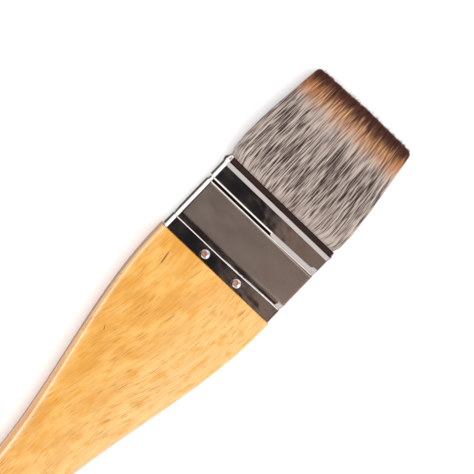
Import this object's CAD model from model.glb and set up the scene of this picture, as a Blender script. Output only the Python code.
"""A flat wash brush, 2 inch, lying on its back on a pale floor: lacquered handle, plated ferrule, nails
and a tuft of dyed hair. Shapes are worked out in millimetres, as (station, across, up): the station is
counted from the ferrule's edge at the handle, and up from the brush's middle plane."""
import math

import bpy
import numpy as np
from mathutils import Matrix, Vector


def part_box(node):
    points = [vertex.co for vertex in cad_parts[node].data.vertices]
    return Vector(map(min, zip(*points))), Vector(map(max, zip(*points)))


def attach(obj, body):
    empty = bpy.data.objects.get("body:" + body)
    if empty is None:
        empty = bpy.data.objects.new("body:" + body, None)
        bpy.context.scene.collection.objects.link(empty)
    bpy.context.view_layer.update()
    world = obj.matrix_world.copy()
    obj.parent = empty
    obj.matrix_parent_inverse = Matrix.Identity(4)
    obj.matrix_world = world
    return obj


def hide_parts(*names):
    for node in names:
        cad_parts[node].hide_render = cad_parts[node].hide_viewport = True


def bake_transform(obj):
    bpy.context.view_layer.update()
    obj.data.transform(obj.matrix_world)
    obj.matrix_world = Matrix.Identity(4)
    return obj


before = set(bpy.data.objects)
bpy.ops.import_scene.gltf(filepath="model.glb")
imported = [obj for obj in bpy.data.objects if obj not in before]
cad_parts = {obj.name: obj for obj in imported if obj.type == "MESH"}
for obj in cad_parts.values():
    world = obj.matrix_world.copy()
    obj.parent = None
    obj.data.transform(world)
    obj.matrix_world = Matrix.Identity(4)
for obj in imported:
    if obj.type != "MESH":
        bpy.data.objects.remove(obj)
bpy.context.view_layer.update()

# --- sizes --------------------------------------------------------------------------------------
MM = 0.001
FERRULE_LOW, FERRULE_HIGH = (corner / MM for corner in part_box("ferrule"))
HANDLE_LOW, HANDLE_HIGH = (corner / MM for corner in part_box("handle"))
HAIR_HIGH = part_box("hair_front")[1] / MM
START_X = FERRULE_LOW.x  # where station 0 is
MIDDLE_Z = (HANDLE_LOW.z + HANDLE_HIGH.z) / 2

HANDLE_OUT = START_X - HANDLE_LOW.x
SHOULDER_WIDTH = HANDLE_HIGH.y - HANDLE_LOW.y
HANDLE_HALF_THICK = (HANDLE_HIGH.z - HANDLE_LOW.z) / 2
TONGUE_LENGTH = HANDLE_HIGH.x - START_X
NECK_WIDTH = 23.5
TAIL_SWELL = 3
HANDLE_EDGE_BREAK = 0.2  # at the end that meets the ferrule
TAPER_START, TAPER_LENGTH, SWELL_LENGTH = 4, 106, 26
EDGE_SHOULDER, EDGE_NECK = 1.6, 4.6  # radius of the handle's long edges
HOLE_RADIUS = 3.5
HOLE_EDGE = 0.7
TONGUE_EDGE = 0.6
GAP = 0.3  # between the handle and the ferrule

FERRULE_HALF_WIDTH = 25.4
FERRULE_HALF_THICK = 5.5
FERRULE_LENGTH = FERRULE_HIGH.x - START_X
FERRULE_CORNER = 1.3
FERRULE_CROWN = 0.15  # the flat faces bulge by this much
SHEET = 0.6
LOW_GROOVE = ((4.9, 0), (5.3, -0.25), (5.42, -0.085), (7.9, 0))  # station and depth along its profile
HIGH_GROOVE = ((21.9, 0), (22.32, -0.25), (23.42, -0.32), (23.9, 0))
LOW_DRIFT, HIGH_DRIFT = 0.6, 0.45  # how far each groove drifts towards the hair, at its right end
SLOPING_FLOOR = -4.0  # to the right of this the high groove's floor slopes up towards the hair
GROOVE_END = -22.0  # to the right of this both grooves flare out
END_SPREAD = 0.9
LIP_START, LIP_CREST, LIP_FLARE, MOUTH_TUCK = 29.6, 31.5, 0.35, 0.2

NAIL_STATION = 2.15
NAIL_MIDDLE, NAIL_SPREAD = 0.7, 7.6
NAIL_Y = (NAIL_MIDDLE + NAIL_SPREAD, NAIL_MIDDLE - NAIL_SPREAD)
DIMPLE_RADIUS, DIMPLE_DEPTH = 1.7, 0.5
DIMPLE_OFF = 0.36  # its middle is this much to the right of the nail's
NAIL_HEAD = 1.22

HAIR_OUT = HAIR_HIGH.x - START_X - FERRULE_LENGTH
HAIR_ROOT = -6.0  # strands start this far inside the mouth
HAIR_WIDE = (22.9, 3.0, -4.3)  # half width at the root, then its change to the widest and to the tips
HAIR_THICK = (4.4, 0.9, -2.0)  # the same for half the thickness
WIDEST, THICKEST = 5, 7  # the heights above the mouth where these changes are done
HAIR_CORNER = 2.6
STRANDS = 3900  # in each half of the tuft
TOP_SHARE, SIDE_SHARE = 0.55, 0.1  # the shares of strands at the tuft's flat face and at its two sides
STRAND_RADIUS = (0.16, 0.23)
STRAND_PARTS = (0, 0.12, 0.18, 0.3, 0.46, 0.63, 0.8, 0.94, 1.0)  # where a strand has its rings
STRAND_SIDES = 3
HAIR_LEAN = 1.5  # the tips stand this far to the left of the root
TIP_ROUND = 1.04  # how much lower the tips are at the tuft's two corners
STRAY_SHARE, TIP_STRAY = 0.04, 1.2  # this share of the strands passes the others, by up to this much
SHORT_SHARE, SHORT_BY = 0.12, 3.5  # and this share ends short of them
TIP_SLANT = 0.8  # the left corner of the tips is this much lower
CLUMPS = 28  # the tips gather in this many clumps on each side of the middle
CLUMP_PULL, CLUMP_DROP = 4.6, 0.3


def smoothstep(value, low, high):
    t = np.clip((np.asarray(value, float) - low) / (high - low), 0, 1)
    return t * t * (3 - 2 * t)


def place(points):
    """(station, across, up) in millimetres to the row frame in metres."""
    return (np.asarray(points, float) + (START_X, 0, MIDDLE_Z)) * MM


# --- mesh helpers -------------------------------------------------------------------------------
def mesh_piece(name, points, faces, sharp=35):
    mesh = bpy.data.meshes.new(name)
    mesh.from_pydata(place(points).tolist(), [], faces)
    mesh.shade_smooth()
    mesh.set_sharp_from_angle(angle=math.radians(sharp))
    piece = bpy.data.objects.new(name, mesh)
    bpy.context.scene.collection.objects.link(piece)
    return piece


def finish_piece(piece, body, slot, material, *nodes):
    piece.data.materials.clear()
    piece.data.materials.append(material)
    if body:
        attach(piece, body)
    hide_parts(*nodes)


def ring(half_width, half_thick, radius, fractions, corner_steps=8, side_steps=4):
    """A rounded rectangle as (across, up) points. fractions are the places of points along its flats."""
    flat, upright = half_width - radius, half_thick - radius
    points = []

    def corner(side_y, side_z, first):
        for i in range(corner_steps + 1):
            angle = math.radians(first + 90 * i / corner_steps)
            y = side_y * flat + radius * math.cos(angle)
            points.append((y, side_z * upright + radius * math.sin(angle)))

    corner(1, 1, 0)
    points += [(-f * flat, half_thick) for f in fractions]
    corner(-1, 1, 90)
    points += [(-half_width, upright * (1 - 2 * i / side_steps)) for i in range(1, side_steps)]
    corner(-1, -1, 180)
    points += [(f * flat, -half_thick) for f in fractions]
    corner(1, -1, 270)
    points += [(half_width, upright * (2 * i / side_steps - 1)) for i in range(1, side_steps)]
    return points


def loft_faces(ring_count, around, closed=False):
    faces = []
    for i in range(ring_count if closed else ring_count - 1):
        a, b = i * around, (i + 1) % ring_count * around
        for j in range(around):
            k = (j + 1) % around
            faces.append((a + j, a + k, b + k, b + j))
    if not closed:
        faces.append(tuple(range(around))[::-1])
        faces.append(tuple((ring_count - 1) * around + j for j in range(around)))
    return faces


def loft(name, rings, closed=False):
    """rings is a list of (station, [(across, up), ...]), all with as many points."""
    points = [(station, y, z) for station, outline in rings for y, z in outline]
    return mesh_piece(name, points, loft_faces(len(rings), len(rings[0][1]), closed))


# --- handle -------------------------------------------------------------------------------------
TAIL_RADIUS = (NECK_WIDTH + TAIL_SWELL) / 2
TAIL_CENTRE = TAIL_RADIUS - HANDLE_OUT
NECK = TAPER_START + TAPER_LENGTH


def handle_half_width(station):
    taper = smoothstep(-station, TAPER_START, NECK)
    swell = smoothstep(-station, NECK, NECK + SWELL_LENGTH)
    return (SHOULDER_WIDTH + (NECK_WIDTH - SHOULDER_WIDTH) * taper + TAIL_SWELL * swell) / 2


def handle_rings():
    fractions = [-0.985, -0.8, -0.4, 0, 0.4, 0.8, 0.985]
    rings = []
    for degrees in np.linspace(5, 90, 30):
        angle = math.radians(degrees)
        station = TAIL_CENTRE - TAIL_RADIUS * math.cos(angle)
        depth = min(station + HANDLE_OUT, EDGE_NECK)
        half_thick = HANDLE_HALF_THICK - EDGE_NECK + math.sqrt(EDGE_NECK**2 - (EDGE_NECK - depth) ** 2)
        half_width = TAIL_RADIUS * math.sin(angle)
        radius = min(EDGE_NECK, 0.98 * half_width, 0.98 * half_thick)
        rings.append((station, ring(half_width, half_thick, radius, fractions)))
    for station in np.linspace(TAIL_CENTRE, -GAP - HANDLE_EDGE_BREAK, 100)[1:]:
        radius = EDGE_SHOULDER + (EDGE_NECK - EDGE_SHOULDER) * float(smoothstep(-station, 0, NECK))
        rings.append((station, ring(handle_half_width(station), HANDLE_HALF_THICK, radius, fractions)))
    end = (SHOULDER_WIDTH / 2, HANDLE_HALF_THICK, EDGE_SHOULDER)
    rings.append((-GAP, ring(*(size - HANDLE_EDGE_BREAK for size in end), fractions)))
    inset = SHEET + GAP - LOW_GROOVE[1][1]
    tongue = ring(FERRULE_HALF_WIDTH - inset, FERRULE_HALF_THICK - inset, TONGUE_EDGE, fractions)
    rings += [(-GAP, tongue), (TONGUE_LENGTH, tongue)]
    return rings


def cut_hang_hole(handle):
    """Cuts the hole and rounds its two rims."""
    bpy.ops.mesh.primitive_cylinder_add(
        vertices=64, radius=HOLE_RADIUS * MM, depth=0.04, location=place((TAIL_CENTRE, 0, 0))
    )
    cutter = bpy.context.object
    cut = handle.modifiers.new("hole", "BOOLEAN")
    cut.object = cutter
    cut.solver = "EXACT"
    rim = handle.vertex_groups.new(name="rim")
    apply_modifiers(handle)
    bpy.data.objects.remove(cutter)
    centre = Vector(place((TAIL_CENTRE, 0, 0)))
    on_rim = [
        v.index
        for v in handle.data.vertices
        if abs((v.co.xy - centre.xy).length - HOLE_RADIUS * MM) < 1e-5
        and abs(abs(v.co.z - centre.z) - HANDLE_HALF_THICK * MM) < 1e-5
    ]
    rim.add(on_rim, 1, "REPLACE")
    bevel = handle.modifiers.new("rim", "BEVEL")
    bevel.limit_method = "VGROUP"
    bevel.vertex_group = "rim"
    bevel.width = HOLE_EDGE * MM
    bevel.segments = 6
    apply_modifiers(handle)
    handle.data.set_sharp_from_angle(angle=math.radians(35))


def apply_modifiers(piece):
    depsgraph = bpy.context.evaluated_depsgraph_get()
    mesh = bpy.data.meshes.new_from_object(piece.evaluated_get(depsgraph))
    piece.modifiers.clear()
    piece.data = mesh


# --- ferrule ------------------------------------------------------------------------------------
def pressed(station, y):
    """How far the sheet stands out from a plain sleeve."""
    to_right = float(smoothstep(-y, -2, FERRULE_HALF_WIDTH))
    sloping = float(smoothstep(-y, -SLOPING_FLOOR - 0.3, -SLOPING_FLOOR + 0.3))
    at_end = float(smoothstep(-y, -GROOVE_END, -GROOVE_END + 1.2))
    edge, floor, step, top = LOW_GROOVE
    step = (step[0], step[1] - 0.2 * at_end)
    top = (top[0] - 0.6 * at_end, 0)
    low = np.interp(station - LOW_DRIFT * to_right, *zip(edge, floor, step, top))
    edge, foot, other_foot, top = HIGH_GROOVE
    other_foot = (other_foot[0], other_foot[1] * (1 - 0.65 * sloping + 0.15 * at_end))
    top = (top[0] + END_SPREAD * at_end, 0)
    high = np.interp(station - HIGH_DRIFT * to_right, *zip(edge, foot, other_foot, top))
    rise = LIP_FLARE * smoothstep(station, LIP_START, LIP_CREST)
    fall = (LIP_FLARE + MOUTH_TUCK) * smoothstep(station, LIP_CREST, FERRULE_LENGTH)
    return low + high + float(rise - fall)


def dimple(station, y):
    deepest = 0.0
    for nail_y in NAIL_Y:
        t = math.hypot(station - NAIL_STATION, y - nail_y + DIMPLE_OFF) / DIMPLE_RADIUS
        if t < 1:
            deepest = max(deepest, DIMPLE_DEPTH * (1 - float(smoothstep(t, 0.4, 1))))
    return deepest


def sheet_fractions():
    """Where a ring has points across its flats: close together over the nails and where a groove changes."""
    flat = FERRULE_HALF_WIDTH - FERRULE_CORNER
    fine = [y + d for y in NAIL_Y for d in np.arange(-2.2, 1.81, 0.2)]
    fine += [SLOPING_FLOOR + d for d in np.linspace(-0.6, 0.6, 7)]
    fine += [GROOVE_END - d for d in np.linspace(0, 1.4, 8)]
    clear = [y for y in np.linspace(-0.985, 0.985, 31) * flat if all(abs(y - other) > 0.7 for other in fine)]
    return sorted(-y / flat for y in fine + clear)


SHEET_FRACTIONS = sheet_fractions()


def sheet_ring(station, inset):
    """The outline of the sheet at a station, pressed in or out point by point."""
    flat = FERRULE_HALF_WIDTH - FERRULE_CORNER
    radius = max(FERRULE_CORNER - inset, 0.4)
    outline = ring(FERRULE_HALF_WIDTH - inset, FERRULE_HALF_THICK - inset, radius, SHEET_FRACTIONS)
    shaped = []
    for y, z in outline:
        offset = pressed(station, y)
        out_y, out_z = y - np.clip(y, -flat, flat), z
        if abs(y) < flat:
            offset += FERRULE_CROWN * (1 - (y / flat) ** 2) - dimple(station, y)
            z += offset * math.copysign(1, z)
        else:
            upright = FERRULE_HALF_THICK - FERRULE_CORNER
            out_z = z - np.clip(z, -upright, upright)
            length = math.hypot(out_y, out_z) or 1
            y, z = y + offset * out_y / length, z + offset * out_z / length
        shaped.append((y, z))
    return station, shaped


def ferrule_stations():
    low, high = [s for s, _ in LOW_GROOVE], [s for s, _ in HIGH_GROOVE]
    stations = [0, 0.15, *np.arange(0.5, 4.4, 0.2), *np.arange(low[0] - 0.2, low[2] + LOW_DRIFT + 0.1, 0.06)]
    stations += [*np.arange(low[2] + 1, low[3] + LOW_DRIFT + 0.2, 0.3), 10, 14, 18]
    stations += [*np.arange(high[0] - 0.1, high[3] + HIGH_DRIFT + END_SPREAD + 0.1, 0.07), 27, 28.5]
    stations += [*np.linspace(LIP_START - 0.2, FERRULE_LENGTH - 0.15, 26), FERRULE_LENGTH]
    return sorted(set(round(float(s), 3) for s in stations))


def build_ferrule(material):
    stations = ferrule_stations()
    outside = [sheet_ring(s, 0) for s in stations]
    inside = [sheet_ring(s, SHEET) for s in reversed(stations)]
    ferrule = loft("ferrule_sheet", outside + inside, closed=True)
    finish_piece(ferrule, "brush", "nickel_plate", material, "ferrule")


# --- nails --------------------------------------------------------------------------------------
def build_nail(name, y, side, material):
    """A domed head in the dimple, on a plain shank with a point."""
    seat = FERRULE_HALF_THICK + FERRULE_CROWN - DIMPLE_DEPTH
    profile = [(0.02, 0.48), (0.4, 0.46), (0.75, 0.39), (1.0, 0.28), (NAIL_HEAD, 0.1), (NAIL_HEAD, -0.06)]
    profile += [(0.9, -0.16), (0.68, -0.3), (0.65, -3.2), (0.03, -4.0)]
    around = 28
    points = []
    for radius, height in profile:
        for i in range(around):
            angle = side * 2 * math.pi * i / around
            up = side * (seat + height)
            points.append((NAIL_STATION + radius * math.cos(angle), y - radius * math.sin(angle), up))
    piece = mesh_piece(name + "_pin", points, loft_faces(len(profile), around), sharp=50)
    finish_piece(piece, "brush", "nail_metal", material, name)


# --- hair ---------------------------------------------------------------------------------------
def hair_half_width(height):
    """height is counted from the mouth."""
    root, spread, narrowing = HAIR_WIDE
    free = np.clip(height / HAIR_OUT, 0, None)
    return root + spread * smoothstep(height, HAIR_ROOT, WIDEST) + narrowing * free**1.6


def hair_half_thick(height):
    root, swell, thinning = HAIR_THICK
    return root + swell * smoothstep(height, -0.5, THICKEST) + thinning * smoothstep(height, 0, HAIR_OUT)


def strand_tips(rng, across, up):
    """How far each strand reaches past the mouth, and the number of the clump that its tip is in."""
    count = len(across)
    clump = np.round(across * CLUMPS + 0.3 * np.sin(40 * up))
    clump_drop = rng.uniform(0, CLUMP_DROP, 2 * CLUMPS + 1)[clump.astype(int) % (2 * CLUMPS + 1)]
    from_corner = np.clip((np.abs(across) - 0.88) / 0.12, 0, 1)
    corner_drop = TIP_ROUND * (1 - np.sqrt(1 - 0.98 * from_corner**2))
    tip = HAIR_OUT + 0.25 - clump_drop - corner_drop - np.abs(rng.normal(0.45, 0.4, count))
    tip += np.where(rng.random(count) < STRAY_SHARE, rng.uniform(0.2, TIP_STRAY, count), 0)
    tip -= TIP_SLANT * smoothstep(across, -0.2, 1)
    tip -= np.where(rng.random(count) < SHORT_SHARE, rng.uniform(0, SHORT_BY, count), 0)
    return tip, clump


def strand_lines(side):
    """The centre line of each strand, as arrays of height, across and up, ring by ring."""
    rng = np.random.default_rng(20 + side)
    count = STRANDS
    across = rng.uniform(-1, 1, count)
    on_top = rng.random(count) < TOP_SHARE
    up = np.where(on_top, rng.uniform(0.86, 1, count), rng.uniform(0, 0.9, count))
    at_side = rng.random(count) < SIDE_SHARE
    across = np.where(at_side, np.sign(across) * rng.uniform(0.96, 1, count), across)
    up = np.where(at_side, rng.uniform(0, 1, count), up)
    tip, clump = strand_tips(rng, across, up)

    part = np.array(STRAND_PARTS)[:, None]
    height = HAIR_ROOT + (tip - HAIR_ROOT) * part
    width, thick = hair_half_width(height), hair_half_thick(height)
    y = across * (width - 0.15)
    past = np.clip(np.abs(y) - (width - HAIR_CORNER), 0, HAIR_CORNER)
    z = up * (thick - HAIR_CORNER + np.sqrt(HAIR_CORNER**2 - past**2))
    free = np.clip(height / HAIR_OUT, 0, 1)
    y = y + rng.normal(0, 0.3, count) * free**2 + rng.normal(0, 0.12, count) * np.sin(math.pi * free)
    y = y + (clump / CLUMPS - across) * CLUMP_PULL * free**3 + HAIR_LEAN * free
    z = z + rng.normal(0, 0.12, count) * free + rng.normal(0, 0.1, count) * np.sin(math.pi * free)
    z = np.maximum(z, 0.02)
    return height, y, side * z, part, rng


def strand_row(name, side, material, *nodes):
    """Half of the tuft: thin tapered strands with three sides, each a closed surface."""
    height, y, z, part, rng = strand_lines(side)
    (rings, count), sides = height.shape, STRAND_SIDES
    taper = (1 - 0.2 * part) * (1 - 0.7 * smoothstep(part, 0.84, 1.0))
    thickness = rng.uniform(*STRAND_RADIUS, count) * taper
    turn = rng.uniform(0, 2 * math.pi, count)
    angle = turn[None, :, None] + np.arange(sides) * 2 * math.pi / sides
    points = np.empty((count, rings, sides, 3))
    points[..., 0] = np.broadcast_to((height + FERRULE_LENGTH).T[:, :, None], (count, rings, sides))
    points[..., 1] = (y[:, :, None] + thickness[:, :, None] * np.cos(angle)).transpose(1, 0, 2)
    points[..., 2] = (z[:, :, None] + thickness[:, :, None] * np.sin(angle)).transpose(1, 0, 2)

    one = loft_faces(rings, sides)
    offsets = np.arange(count)[:, None] * rings * sides
    quads = (np.array([f for f in one if len(f) == 4]) + offsets[:, :, None]).reshape(-1, 4)
    ends = (np.array([f for f in one if len(f) == 3]) + offsets[:, :, None]).reshape(-1, 3)
    piece = mesh_piece(name, points.reshape(-1, 3), quads.tolist() + ends.tolist(), sharp=180)

    seed = np.repeat(rng.random(count), rings * sides)
    along = np.repeat(height.T.reshape(-1), sides)
    middle = np.repeat(y.T.reshape(-1), sides)
    strand = piece.data.attributes.new("strand", "FLOAT_VECTOR", "POINT")
    strand.data.foreach_set("vector", np.stack([along, seed, middle], 1).astype(np.float32).ravel())
    bake_layout(piece, count, rings, sides)
    finish_piece(piece, None, "hair", material, *nodes)
    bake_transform(piece)


def bake_layout(piece, count, rings, sides):
    """Gives each strand its own tall cell of a UV grid."""
    columns = 256
    rows = math.ceil(count / columns)
    vertex = np.arange(count * rings * sides)
    strand, ring_index, side = vertex // (rings * sides), vertex // sides % rings, vertex % sides
    u = (strand % columns + 0.15 + 0.35 * side) / columns
    v = (strand // columns + 0.08 + 0.84 * ring_index / (rings - 1)) / rows
    layer = piece.data.uv_layers.new(name="OFBake")
    corner = np.empty(len(piece.data.loops), np.int32)
    piece.data.loops.foreach_get("vertex_index", corner)
    layer.data.foreach_set("uv", np.stack([u[corner], v[corner]], 1).astype(np.float32).ravel())


# --- node helpers -------------------------------------------------------------------------------
def add(tree, kind, inputs=None, **settings):
    node = tree.nodes.new(kind)
    for name, value in settings.items():
        setattr(node, name, value)
    for key, value in (inputs or {}).items():
        connect(tree, node.inputs[key], value)
    return node


def connect(tree, socket, value):
    if isinstance(value, bpy.types.NodeSocket):
        tree.links.new(value, socket)
    else:
        socket.default_value = value


def maths(tree, operation, *values):
    node = add(tree, "ShaderNodeMath", operation=operation)
    for socket, value in zip(node.inputs, values):
        connect(tree, socket, value)
    return node.outputs[0]


def fade(tree, value, low, high, start=0.0, end=1.0):
    """start below low, end above high, smooth between them."""
    inputs = {"Value": value, "From Min": low, "From Max": high, "To Min": start, "To Max": end}
    return add(tree, "ShaderNodeMapRange", inputs, interpolation_type="SMOOTHSTEP").outputs["Result"]


def blend_colour(tree, factor, first, second, mode="MIX"):
    node = add(tree, "ShaderNodeMix", data_type="RGBA", blend_type=mode)
    connect(tree, node.inputs[0], factor)
    connect(tree, node.inputs[6], first)
    connect(tree, node.inputs[7], second)
    return node.outputs[2]


def noise(tree, vector, detail=2.0, roughness=0.5, scale=1.0):
    inputs = {"Vector": vector, "Scale": scale, "Detail": detail, "Roughness": roughness}
    return add(tree, "ShaderNodeTexNoise", inputs).outputs[0]


def vector(tree, x, y, z=0.0):
    return add(tree, "ShaderNodeCombineXYZ", {"X": x, "Y": y, "Z": z}).outputs[0]


def rgb(red, green, blue):
    """An sRGB colour, 0 to 255, as linear RGBA."""
    return (*(((c / 255 + 0.055) / 1.055) ** 2.4 if c > 10 else c / 3295 for c in (red, green, blue)), 1)


def new_material(name, **constants):
    """A material with one Principled shader; constants are values of its sockets."""
    material = bpy.data.materials.new(name)
    material.use_nodes = True
    shader = material.node_tree.nodes["Principled BSDF"]
    for socket, value in constants.items():
        shader.inputs[socket.replace("_", " ")].default_value = value
    return material, material.node_tree, shader


def place_mm(tree):
    """The place on the object in millimetres, as separate x, y and z."""
    coordinates = add(tree, "ShaderNodeTexCoord").outputs["Object"]
    scaled = add(tree, "ShaderNodeVectorMath", {0: coordinates, "Scale": 1 / MM}, operation="SCALE")
    return add(tree, "ShaderNodeSeparateXYZ", {0: scaled.outputs[0]}).outputs


def bump(tree, shader, height, distance_mm, strength=1.0):
    inputs = {"Height": height, "Distance": distance_mm * MM, "Strength": strength}
    normal = add(tree, "ShaderNodeBump", inputs).outputs[0]
    tree.links.new(normal, shader.inputs["Normal"])
    return normal


# --- materials ----------------------------------------------------------------------------------
PORE_MARKS = (  # station, across, half length, half width, slant
    (-8.3, 17.4, 2.9, 0.34, 0.14),
    (-40.6, 15.6, 1.0, 0.22, 0.5),
)


def lacquered_wood():
    """Pale wood under a clear coat: soft blotches, fine fibres, short dark pores and two deeper marks."""
    material, tree, shader = new_material(
        "lacquered_wood", Coat_Weight=1.0, Coat_Roughness=0.05, Coat_IOR=1.5, Roughness=0.45
    )
    x, y, z = place_mm(tree)
    drift = noise(tree, vector(tree, maths(tree, "MULTIPLY", x, 0.022), maths(tree, "MULTIPLY", y, 0.03)))
    across = maths(tree, "MULTIPLY_ADD", drift, 7.0, y)
    across = maths(tree, "SUBTRACT", across, fade(tree, x, START_X - 90, START_X - 5, 14, 0))
    across = maths(tree, "MULTIPLY_ADD", z, 0.35, across)

    def grain(along, over, detail=2.0, shift=0.0, roughness=0.5):
        scaled_x = maths(tree, "MULTIPLY", x, 1 / along)
        scaled_y = maths(tree, "MULTIPLY", across, 1 / over)
        return noise(tree, vector(tree, scaled_x, scaled_y, shift), detail, roughness)

    base = blend_colour(tree, fade(tree, grain(16, 7, 3), 0.35, 0.65), rgb(207, 144, 46), rgb(225, 172, 88))
    pale = fade(tree, y, -21, 12, 0.85, 0.03)
    pale = maths(tree, "MULTIPLY", pale, fade(tree, x, START_X - 45, START_X, 1.0, 0.7))
    base = blend_colour(tree, pale, base, rgb(225, 189, 128))
    amber = maths(tree, "MULTIPLY", fade(tree, grain(6, 2.6, 4, 4.0, 0.65), 0.48, 0.66), 0.6)
    base = blend_colour(tree, amber, base, rgb(210, 142, 22))
    rounded = fade(tree, z, HANDLE_HIGH.z - 2.6, HANDLE_HIGH.z - 0.1, 0.85, 0.0)
    base = blend_colour(tree, rounded, base, rgb(192, 118, 32))
    fibre = maths(tree, "MULTIPLY", fade(tree, grain(18, 0.55, 3, 8.0), 0.56, 0.38), 0.3)
    base = blend_colour(tree, fibre, base, rgb(196, 124, 44))
    dashes = fade(tree, grain(6.0, 0.34, 1, 12.0), 0.57, 0.68)
    where = fade(tree, grain(18, 5, 2, 16.0), 0.4, 0.58, 0.2, 0.75)
    pores = maths(tree, "MULTIPLY", dashes, where)
    base = blend_colour(tree, pores, base, rgb(172, 106, 22))
    for station, mark_y, long, wide, slant in PORE_MARKS:
        off_x = maths(tree, "SUBTRACT", x, START_X + station)
        off_y = maths(tree, "SUBTRACT", y, mark_y)
        off_y = maths(tree, "SUBTRACT", off_y, maths(tree, "MULTIPLY", off_x, slant))
        far_x = maths(tree, "POWER", maths(tree, "MULTIPLY", off_x, 1 / long), 2.0)
        far_y = maths(tree, "POWER", maths(tree, "MULTIPLY", off_y, 1 / wide), 2.0)
        mark = fade(tree, maths(tree, "ADD", far_x, far_y), 0.3, 1.3, 0.85, 0.0)
        mark = maths(tree, "MULTIPLY", mark, fade(tree, z, HANDLE_HIGH.z - 1, HANDLE_HIGH.z))
        base = blend_colour(tree, mark, base, rgb(112, 60, 14))
    tree.links.new(base, shader.inputs["Base Color"])
    ripple = noise(tree, vector(tree, maths(tree, "MULTIPLY", x, 0.12), maths(tree, "MULTIPLY", y, 0.2)))
    height = maths(tree, "MULTIPLY_ADD", pores, -0.05, maths(tree, "MULTIPLY", ripple, 0.6))
    normal = bump(tree, shader, height, 0.12)
    tree.links.new(normal, shader.inputs["Coat Normal"])
    return material


PANEL_LEFT, PANEL_RIGHT = (23.4, 24.2), (-25.3, -24.9)  # where the satin panel fades out across the sheet


def nickel_plate():
    """Polished plate, with a satin panel between the two grooves, smudges and shallow dents."""
    material, tree, shader = new_material("nickel_plate", Metallic=1.0)
    x, y, z = place_mm(tree)
    panel_low, panel_high = START_X + LOW_GROOVE[3][0], START_X + HIGH_GROOVE[0][0]
    above_low = fade(tree, x, panel_low - 1.2, panel_low + 0.2)
    inside = maths(tree, "MULTIPLY", above_low, fade(tree, x, panel_high - 0.3, panel_high, 1, 0))
    on_flat = maths(tree, "MULTIPLY", fade(tree, y, *PANEL_LEFT, 1, 0), fade(tree, y, *PANEL_RIGHT))
    inside = maths(tree, "MULTIPLY", inside, on_flat)
    down = maths(tree, "MULTIPLY", z, 0.15)
    smudge_x, smudge_y = maths(tree, "MULTIPLY", x, 0.25), maths(tree, "MULTIPLY", y, 0.12)
    smudge = noise(tree, vector(tree, smudge_x, smudge_y, down), 4)
    polished = fade(tree, smudge, 0.3, 0.8, 0.05, 0.14)
    satin = fade(tree, smudge, 0.3, 0.8, 0.22, 0.25)
    roughness = add(tree, "ShaderNodeMix", data_type="FLOAT")
    connect(tree, roughness.inputs[0], inside)
    connect(tree, roughness.inputs[2], polished)
    connect(tree, roughness.inputs[3], satin)
    tree.links.new(roughness.outputs[0], shader.inputs["Roughness"])
    colour = blend_colour(tree, inside, rgb(220, 212, 207), rgb(238, 220, 206))
    tree.links.new(colour, shader.inputs["Base Color"])
    dent_x, dent_y = maths(tree, "MULTIPLY", x, 0.16), maths(tree, "MULTIPLY", y, 0.1)
    dents = noise(tree, vector(tree, dent_x, dent_y, down), 2)
    depth = maths(tree, "MULTIPLY_ADD", inside, -0.7, 1.0)
    bump(tree, shader, maths(tree, "MULTIPLY", dents, depth), 0.08)
    return material


def nail_metal():
    """A dull coppery nail head with stains."""
    material, tree, shader = new_material("nail_metal", Metallic=0.15)
    x, y, z = place_mm(tree)
    stain = noise(tree, vector(tree, x, y, z), 4, 0.6, 1.6)
    tree.links.new(
        blend_colour(tree, fade(tree, stain, 0.35, 0.65), rgb(126, 82, 68), rgb(180, 130, 112)),
        shader.inputs["Base Color"],
    )
    tree.links.new(fade(tree, stain, 0.3, 0.7, 0.28, 0.5), shader.inputs["Roughness"])
    bump(tree, shader, stain, 0.05)
    return material


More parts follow.
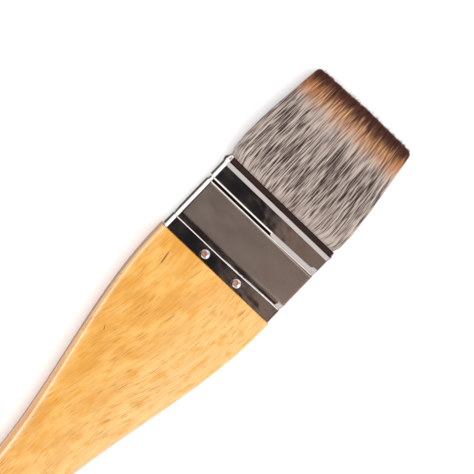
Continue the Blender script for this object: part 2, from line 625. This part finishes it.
def dyed_hair():
    """Grey hair with darker streaks, an orange band and dark tips, all by height above the mouth."""
    material, tree, shader = new_material("dyed_hair", Roughness=0.55, Specular_IOR_Level=0.25)
    strand = add(tree, "ShaderNodeAttribute", attribute_name="strand", attribute_type="GEOMETRY")
    along, seed, across = add(tree, "ShaderNodeSeparateXYZ", {0: strand.outputs["Vector"]}).outputs

    def streak(period, shift, detail=1.0):
        height = maths(tree, "MULTIPLY", along, 1 / period)
        return noise(tree, vector(tree, height, maths(tree, "MULTIPLY", seed, 900), shift), detail)

    def patch(long, wide, shift):
        height = maths(tree, "MULTIPLY", along, 1 / long)
        return noise(tree, vector(tree, height, maths(tree, "MULTIPLY", across, 1 / wide), shift), 2)

    def mixed(low, high, value, dark, light):
        return blend_colour(tree, fade(tree, value, low, high), dark, light)

    light = maths(tree, "MULTIPLY_ADD", patch(7, 0.9, 2.0), 0.24, streak(7, 0.0))
    light = maths(tree, "MULTIPLY_ADD", patch(16, 9, 7.0), 0.15, light)
    light = maths(tree, "MULTIPLY_ADD", streak(40, 19.0), 0.55, light)
    light = maths(tree, "ADD", light, fade(tree, along, 0, 11, 0.07, 0.0))
    light = maths(tree, "ADD", light, fade(tree, along, 23, 32, 0.0, 0.07))
    grey = mixed(0.86, 1.1, light, rgb(60, 43, 37), rgb(198, 182, 172))

    orange = mixed(0.36, 0.62, streak(9, 9.0), rgb(120, 62, 26), rgb(236, 180, 126))
    at_side = fade(tree, maths(tree, "ABSOLUTE", across), 14, 23, 0.0, 0.55)
    orange = blend_colour(tree, at_side, orange, rgb(196, 112, 48))
    jitter = maths(tree, "MULTIPLY", maths(tree, "SUBTRACT", streak(60, 5.0, 0.0), 0.5), 9.0)
    height = maths(tree, "ADD", along, jitter)
    colour = blend_colour(tree, fade(tree, height, 29.5, 38, 0.0, 0.95), grey, orange)
    brown = mixed(0.35, 0.65, streak(12, 13.0), rgb(50, 29, 27), rgb(112, 66, 52))
    early = maths(tree, "ADD", height, fade(tree, streak(60, 21.0, 0.0), 0.54, 0.7, 0.0, 4.0))
    early = maths(tree, "MULTIPLY_ADD", patch(60, 1.2, 25.0), 4.0, early)
    colour = blend_colour(tree, fade(tree, early, 39.8, 42.8), colour, brown)
    tree.links.new(colour, shader.inputs["Base Color"])
    return material


def plain_grained(name, first, second, long, roughness):
    """The hidden pieces: two tones mixed by a stretched noise."""
    material, tree, shader = new_material(name, Roughness=roughness)
    x, y, z = place_mm(tree)
    mix = noise(tree, vector(tree, x, maths(tree, "MULTIPLY", y, 1 / long), z), 3, 0.5, 0.8)
    tree.links.new(blend_colour(tree, mix, first, second), shader.inputs["Base Color"])
    bump(tree, shader, mix, 0.05)
    return material


# --- stage --------------------------------------------------------------------------------------
CONTACT_LINE = ((0, 0.25), (2.4, 3.0), (0.7, 1))  # near edge, far edge, strength: by handle and ferrule
FLOOR_GLOW = 0.06  # keeps the shadows light


def build_floor():
    """A pale floor. Reflections also see the dark line where the brush meets it."""
    mesh = bpy.data.meshes.new("floor")
    half, down = 3.0, -0.0002
    corners = [(-half, -half, down), (half, -half, down), (half, half, down), (-half, half, down)]
    mesh.from_pydata(corners, [], [(0, 1, 2, 3)])
    floor = bpy.data.objects.new("floor", mesh)
    bpy.context.scene.collection.objects.link(floor)
    material, tree, shader = new_material("floor", Roughness=0.9, Emission_Strength=FLOOR_GLOW)
    x, y, _ = place_mm(tree)
    outline = fade(tree, x, START_X - NECK, START_X - TAPER_START, NECK_WIDTH / 2, SHOULDER_WIDTH / 2)
    off = maths(tree, "SUBTRACT", maths(tree, "ABSOLUTE", y), outline)
    near, far, strength = (fade(tree, x, START_X - 0.2, START_X, *ends) for ends in CONTACT_LINE)
    line = fade(tree, maths(tree, "SUBTRACT", off, near), -0.2, 0.1)
    line = maths(tree, "MULTIPLY", line, fade(tree, maths(tree, "SUBTRACT", off, far), -0.1, 0.2, 1, 0))
    line = maths(tree, "MULTIPLY", line, strength)
    line = maths(tree, "MULTIPLY", line, maths(tree, "LESS_THAN", x, START_X + FERRULE_LENGTH))
    line = maths(tree, "MULTIPLY", line, add(tree, "ShaderNodeLightPath").outputs["Is Glossy Ray"])
    colour = blend_colour(tree, line, (0.95, 0.95, 0.955, 1), (0.01, 0.01, 0.01, 1))
    tree.links.new(colour, shader.inputs["Base Color"])
    mesh.materials.append(material)


# What reflections see: each range is in degrees, first along the brush from straight up, then across it.
WINDOW_BEHIND = ((-62, 5), (-50, 20))
WINDOWS_AT_ENDS = ((47, 78), (-48, 8))
PANEL_OVERHEAD = ((-10.5, 50), (-80, 8))
WINDOW_LEFT = (19, 74)  # only across
WINDOW_WHITE = (1.5, 1.5, 1.5, 1)


def window(tree, value, low, high, soft=1.0):
    """1 between two values, 0 outside them."""
    opened = fade(tree, value, low - soft, low + soft)
    return maths(tree, "MULTIPLY", opened, fade(tree, value, high - soft, high + soft, 1, 0))


def build_world():
    """Even white light. Reflections see a grey studio that gets lighter upwards, with a dim panel
    overhead, a soft window behind the handle, one low at each end and a tall one to the left."""
    world = bpy.data.worlds.new("studio")
    bpy.context.scene.world = world
    world.use_nodes = True
    tree = world.node_tree
    tree.nodes.clear()
    direction = add(tree, "ShaderNodeTexCoord").outputs["Generated"]
    x, y, z = add(tree, "ShaderNodeSeparateXYZ", {0: direction}).outputs
    lean_x = maths(tree, "DEGREES", maths(tree, "ARCTAN2", x, z))
    lean_y = maths(tree, "DEGREES", maths(tree, "ARCTAN2", y, z))
    studio = blend_colour(tree, fade(tree, z, 0.0, 0.8), (0.3, 0.3, 0.31, 1), (0.8, 0.79, 0.79, 1))

    along, across = WINDOW_BEHIND
    behind = maths(tree, "MULTIPLY", window(tree, lean_x, *along), window(tree, lean_y, *across, 4))
    studio = blend_colour(tree, behind, studio, (0.82, 0.8, 0.8, 1))
    along, across = WINDOWS_AT_ENDS
    steep = window(tree, maths(tree, "ABSOLUTE", lean_x), *along, 4)
    steep = maths(tree, "MULTIPLY", steep, window(tree, lean_y, *across, 4))
    studio = blend_colour(tree, steep, studio, WINDOW_WHITE)

    along, across = PANEL_OVERHEAD
    overhead = maths(tree, "MULTIPLY", window(tree, lean_x, *along), window(tree, lean_y, *across, 4))
    edge = maths(tree, "MULTIPLY_ADD", lean_x, -0.58, lean_y)
    panel = blend_colour(tree, fade(tree, edge, -9.1, -7.9), rgb(134, 117, 108), rgb(34, 33, 37))
    panel = blend_colour(tree, fade(tree, lean_x, -5.6, -4.8, 1, 0), panel, rgb(48, 37, 36))
    panel = blend_colour(tree, window(tree, lean_x, 2, 50), panel, rgb(12, 9, 9))
    panel = blend_colour(tree, window(tree, lean_x, 16, 50, 3), panel, rgb(66, 50, 48))
    studio = blend_colour(tree, overhead, studio, panel)

    tall = maths(tree, "MULTIPLY", window(tree, x, -0.4, 0.3, 0.1), window(tree, lean_y, *WINDOW_LEFT, 9))
    studio = blend_colour(tree, tall, studio, WINDOW_WHITE)
    glossy = add(tree, "ShaderNodeLightPath").outputs["Is Glossy Ray"]
    colour = blend_colour(tree, glossy, (1.06, 1.06, 1.06, 1), studio)
    background = add(tree, "ShaderNodeBackground", {"Color": colour, "Strength": 1.06})
    output = add(tree, "ShaderNodeOutputWorld")
    tree.links.new(background.outputs[0], output.inputs[0])


def area_light(name, place_m, aim, size, watts, only_reflected):
    data = bpy.data.lights.new(name, "AREA")
    data.shape = "RECTANGLE"
    data.size, data.size_y = size
    data.energy = watts
    light = bpy.data.objects.new(name, data)
    light.location = place_m
    light.rotation_euler = (Vector(place_m) - Vector(aim)).to_track_quat("Z", "Y").to_euler()
    light.visible_glossy = only_reflected
    light.visible_diffuse = not only_reflected
    bpy.context.scene.collection.objects.link(light)


CAMERA_TILT, CAMERA_PITCH, CAMERA_ROLL = (math.radians(a) for a in (9.0, 2.88, 46.41))
CAMERA_DISTANCE, CAMERA_FIELD = 0.7922, math.radians(12)
LOOK_AT = Vector(((START_X + 14.0) * MM, 0.0032, 0.006))


def build_camera():
    """Looks down, from a little to the brush's left and past its hair, turned so the brush lies aslant."""
    back = Vector(
        (
            math.sin(CAMERA_PITCH) * math.cos(CAMERA_TILT),
            math.sin(CAMERA_TILT),
            math.cos(CAMERA_PITCH) * math.cos(CAMERA_TILT),
        )
    ).normalized()
    level_right = Vector((0, 1, 0)).cross(back).normalized()
    level_up = back.cross(level_right)
    right = level_right * math.cos(CAMERA_ROLL) - level_up * math.sin(CAMERA_ROLL)
    up = level_right * math.sin(CAMERA_ROLL) + level_up * math.cos(CAMERA_ROLL)
    data = bpy.data.cameras.new("camera")
    data.angle = CAMERA_FIELD
    data.clip_start = 0.01
    camera = bpy.data.objects.new("camera", data)
    turn = Matrix((right, up, back)).transposed().to_4x4()
    camera.matrix_world = Matrix.Translation(LOOK_AT + back * CAMERA_DISTANCE) @ turn
    bpy.context.scene.collection.objects.link(camera)
    bpy.context.scene.camera = camera


# --- the whole ----------------------------------------------------------------------------------
build_camera()
build_world()
build_floor()
area_light("key", (0.2, -0.4, 0.8), (0.03, 0, 0), (1.0, 1.0), 5.2, False)
area_light("strip", (-0.1, 0.6, 0.3), (0.0, 0, 0), (0.56, 0.3), 3.1, True)
bpy.context.scene.view_settings.view_transform = "Standard"

wood, nickel, nail_finish, hair_finish = lacquered_wood(), nickel_plate(), nail_metal(), dyed_hair()
handle = loft("handle_wood", handle_rings())
cut_hang_hole(handle)
finish_piece(handle, "brush", "lacquered_wood", wood, "handle")
build_ferrule(nickel)
for name, y, side in (
    ("nail_front_left", NAIL_Y[0], 1),
    ("nail_front_right", NAIL_Y[1], 1),
    ("nail_back_left", NAIL_Y[0], -1),
    ("nail_back_right", NAIL_Y[1], -1),
):
    build_nail(name, y, side, nail_finish)
strand_row("hair_front_strands", 1, hair_finish, "hair_front", "hair_root_front")
strand_row("hair_back_strands", -1, hair_finish, "hair_back", "hair_root_back")

for node, material in (
    ("resin_block", plain_grained("resin", rgb(196, 140, 60), rgb(160, 104, 40), 6, 0.25)),
    ("divider_strip", plain_grained("strip_wood", rgb(206, 176, 132), rgb(176, 142, 98), 12, 0.7)),
):
    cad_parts[node].data.materials.clear()
    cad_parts[node].data.materials.append(material)
